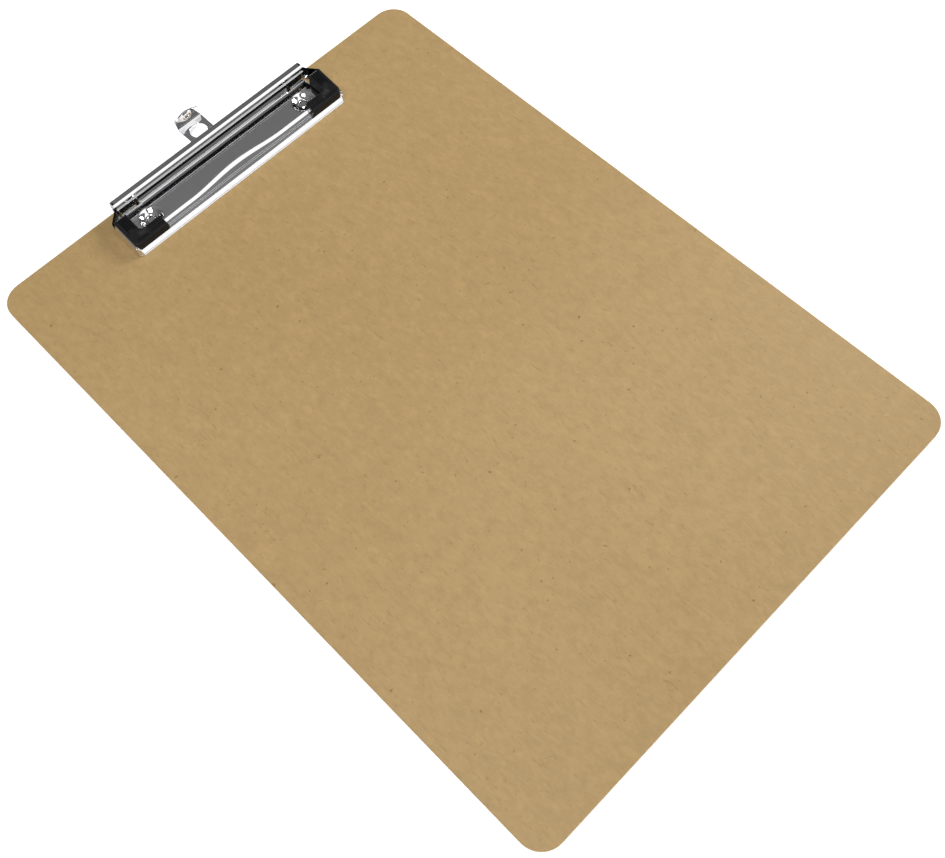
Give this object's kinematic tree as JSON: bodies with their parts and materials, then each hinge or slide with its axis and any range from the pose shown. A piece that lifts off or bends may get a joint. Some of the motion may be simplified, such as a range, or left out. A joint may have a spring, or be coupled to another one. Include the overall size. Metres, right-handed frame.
{
  "type": "clipboard",
  "caption": "Rectangular hardboard clipboard with rounded corners, a low-profile sprung lever clip with ribbed corner grips, and a sliding hanging hook behind it.",
  "frame": {"origin": "centre of the board's back face", "axes": "+X to the right as the sheet is read, +Y along the length towards the clip, +Z out of the writing face"},
  "size_m": [0.229, 0.3317, 0.013],
  "materials": {
    "hardboard": "smooth pressed fibreboard, satin",
    "plated_steel": "bright nickel plating, polished",
    "rod_steel": "bright plated rod",
    "spring_steel": "oil-dark drawn spring wire",
    "grip_rubber": "moulded black rubber, satin",
    "rivet_nickel": "bright nickel plating",
    "washer_steel": "zinc plated"
  },
  "bodies": {
    "base": {"board": "hardboard", "base_plate": "plated_steel", "torsion_spring_left": "spring_steel", "torsion_spring_right": "spring_steel", "rivet_left": "rivet_nickel", "rivet_right": "rivet_nickel", "rivet_washer_left": "washer_steel", "rivet_washer_right": "washer_steel"},
    "clip": {"clip_frame": "plated_steel", "hinge_rod": "rod_steel", "corner_grip_left": "grip_rubber", "corner_grip_right": "grip_rubber"},
    "hook": {"hanging_hook": "plated_steel"}
  },
  "joints": [
    {"name": "clip_hinge", "type": "hinge", "parent": "base", "child": "clip", "pos_m": [0, 0.1538, 0.0076], "axis": [-1, 0, 0], "range_deg": [0, 33], "stiffness_Nm_per_rad": 0.35, "springref_deg": -34.38, "deforming": ["torsion_spring_left", "torsion_spring_right"]},
    {"name": "hook_slide", "type": "slide", "parent": "base", "child": "hook", "axis": [0, 1, 0], "range_m": [-0.0135, 0]}
  ]
}
